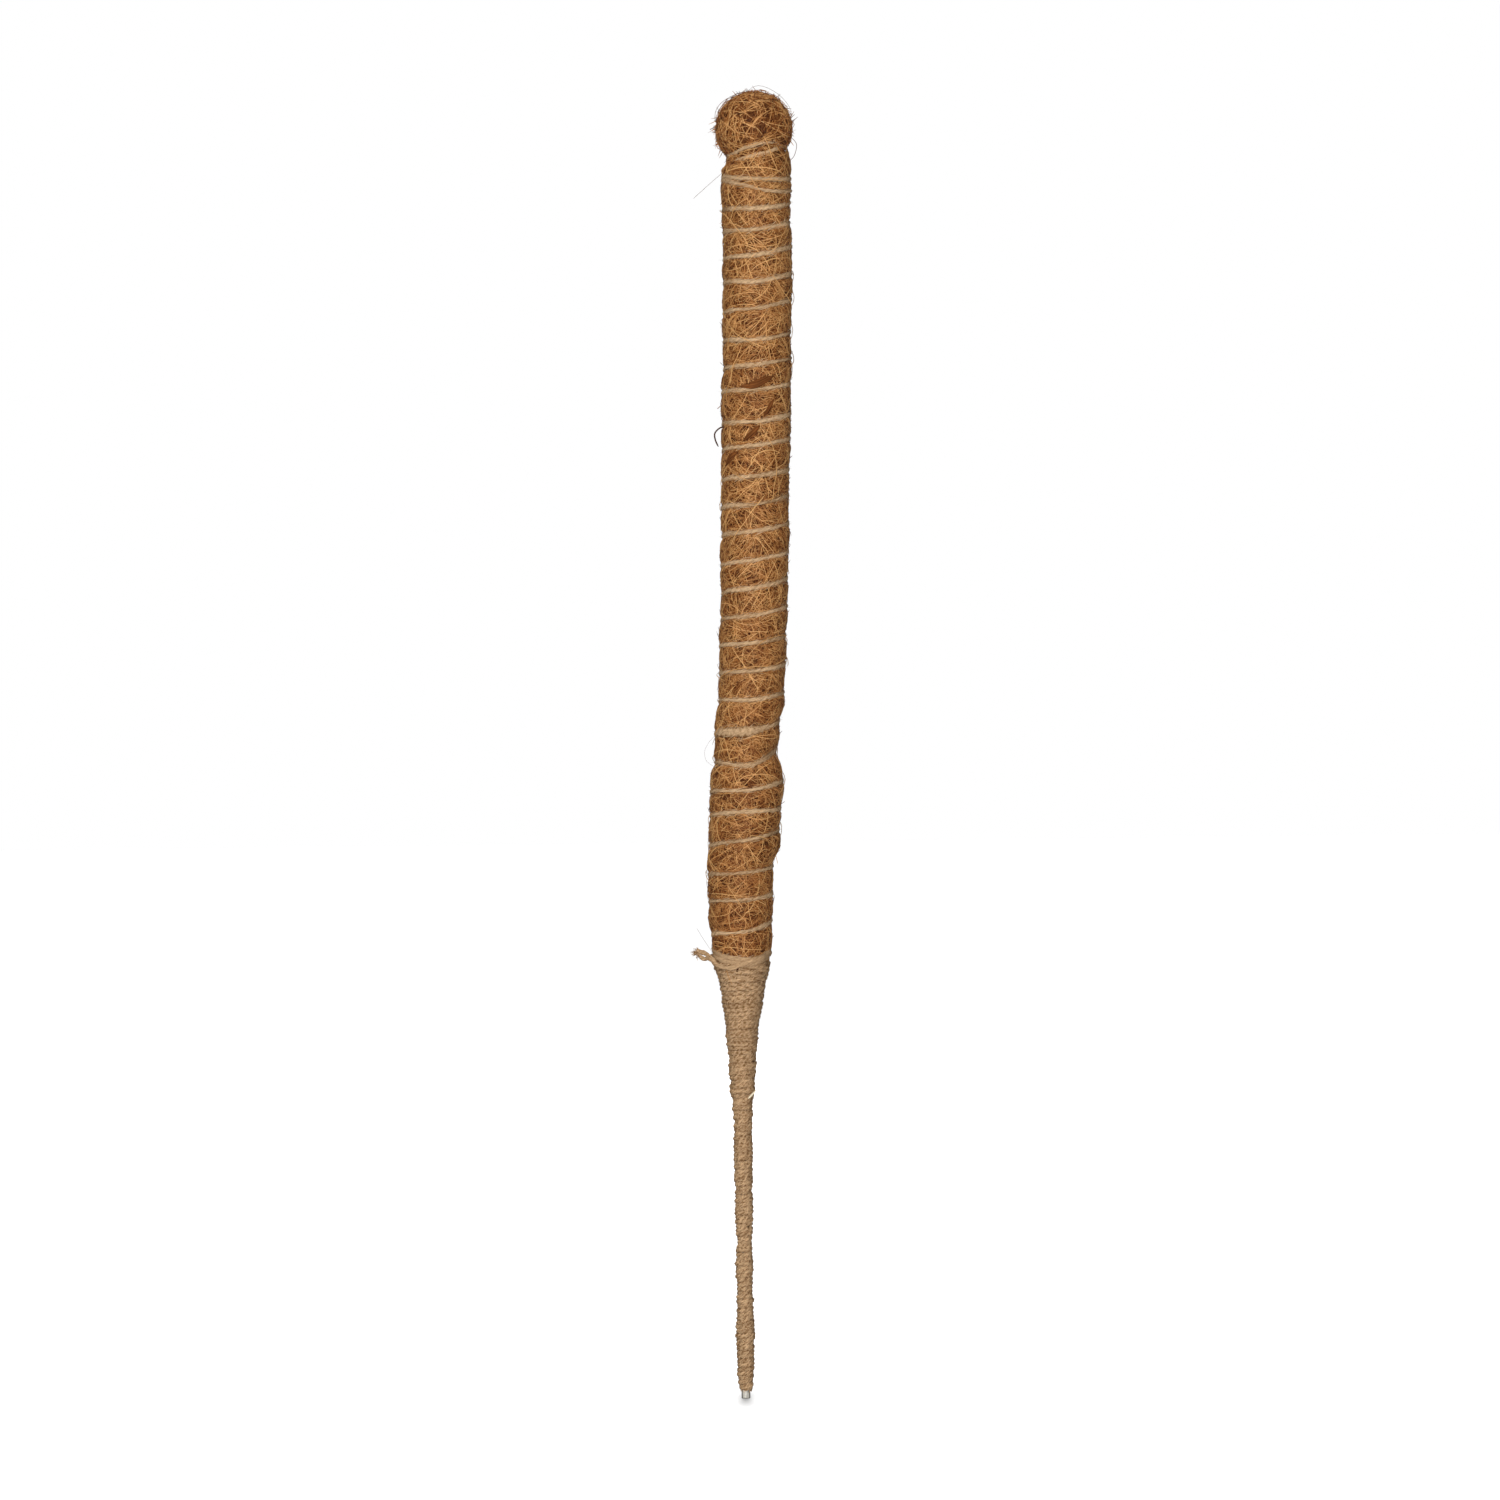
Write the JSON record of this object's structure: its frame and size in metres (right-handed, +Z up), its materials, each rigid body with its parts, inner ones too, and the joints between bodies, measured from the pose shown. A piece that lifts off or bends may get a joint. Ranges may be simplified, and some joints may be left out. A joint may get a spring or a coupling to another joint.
{
  "type": "bendable coir plant pole",
  "caption": "Plant support pole: twine-wound coir column with a tied round head, on a bendable core wire above a jute-wrapped stake.",
  "frame": {"origin": "centre of the flat cut end of the core wire, at the tip of the stake", "axes": "+Z up along the stake, +X to the right in the picture, +Y away from the viewer"},
  "size_m": [0.0509, 0.0354, 0.5996],
  "materials": {
    "coir": "matted coconut fibre",
    "twine": "flattened hairy jute twine",
    "jute_wrap": "close-wound jute twine",
    "wire": "bare drawn wire"
  },
  "bodies": {
    "stake": {"core_wire_1": "wire", "stake_wrap_lower": "jute_wrap", "stake_wrap_upper": "jute_wrap", "taper_wrap": "jute_wrap", "twine_tail": "jute_wrap", "coir_section_1": "coir", "twine_winding_1": "twine"},
    "section_2": {"core_wire_2": "wire", "coir_section_2": "coir", "twine_winding_2": "twine"},
    "section_3": {"core_wire_3": "wire", "coir_section_3": "coir", "twine_winding_3": "twine"},
    "section_4": {"core_wire_4": "wire", "coir_section_4": "coir", "twine_winding_4": "twine"},
    "section_5": {"core_wire_5": "wire", "coir_section_5": "coir", "twine_winding_5": "twine"},
    "section_6": {"core_wire_6": "wire", "coir_section_6": "coir", "twine_winding_6": "twine"},
    "crown": {"crown_wire": "wire", "coir_crown": "coir", "crown_winding": "twine", "neck_tie": "twine"}
  },
  "joints": [
    {"name": "bend_1", "type": "hinge", "parent": "stake", "child": "section_2", "pos_m": [0, 0, 0.26], "axis": [0, 1, 0], "range_deg": [-15, 15]},
    {"name": "bend_2", "type": "hinge", "parent": "section_2", "child": "section_3", "pos_m": [0.00534, 0, 0.31172], "axis": [0, 1, 0], "range_deg": [-15, 15]},
    {"name": "bend_3", "type": "hinge", "parent": "section_3", "child": "section_4", "pos_m": [0.0077, 0, 0.36367], "axis": [0, 1, 0], "range_deg": [-15, 15]},
    {"name": "bend_4", "type": "hinge", "parent": "section_4", "child": "section_5", "pos_m": [0.00879, 0, 0.41566], "axis": [0, 1, 0], "range_deg": [-15, 15]},
    {"name": "bend_5", "type": "hinge", "parent": "section_5", "child": "section_6", "pos_m": [0.01015, 0, 0.46764], "axis": [0, 1, 0], "range_deg": [-15, 15]},
    {"name": "bend_6", "type": "hinge", "parent": "section_6", "child": "crown", "pos_m": [0.01106, 0, 0.51963], "axis": [0, 1, 0], "range_deg": [-15, 15]}
  ]
}
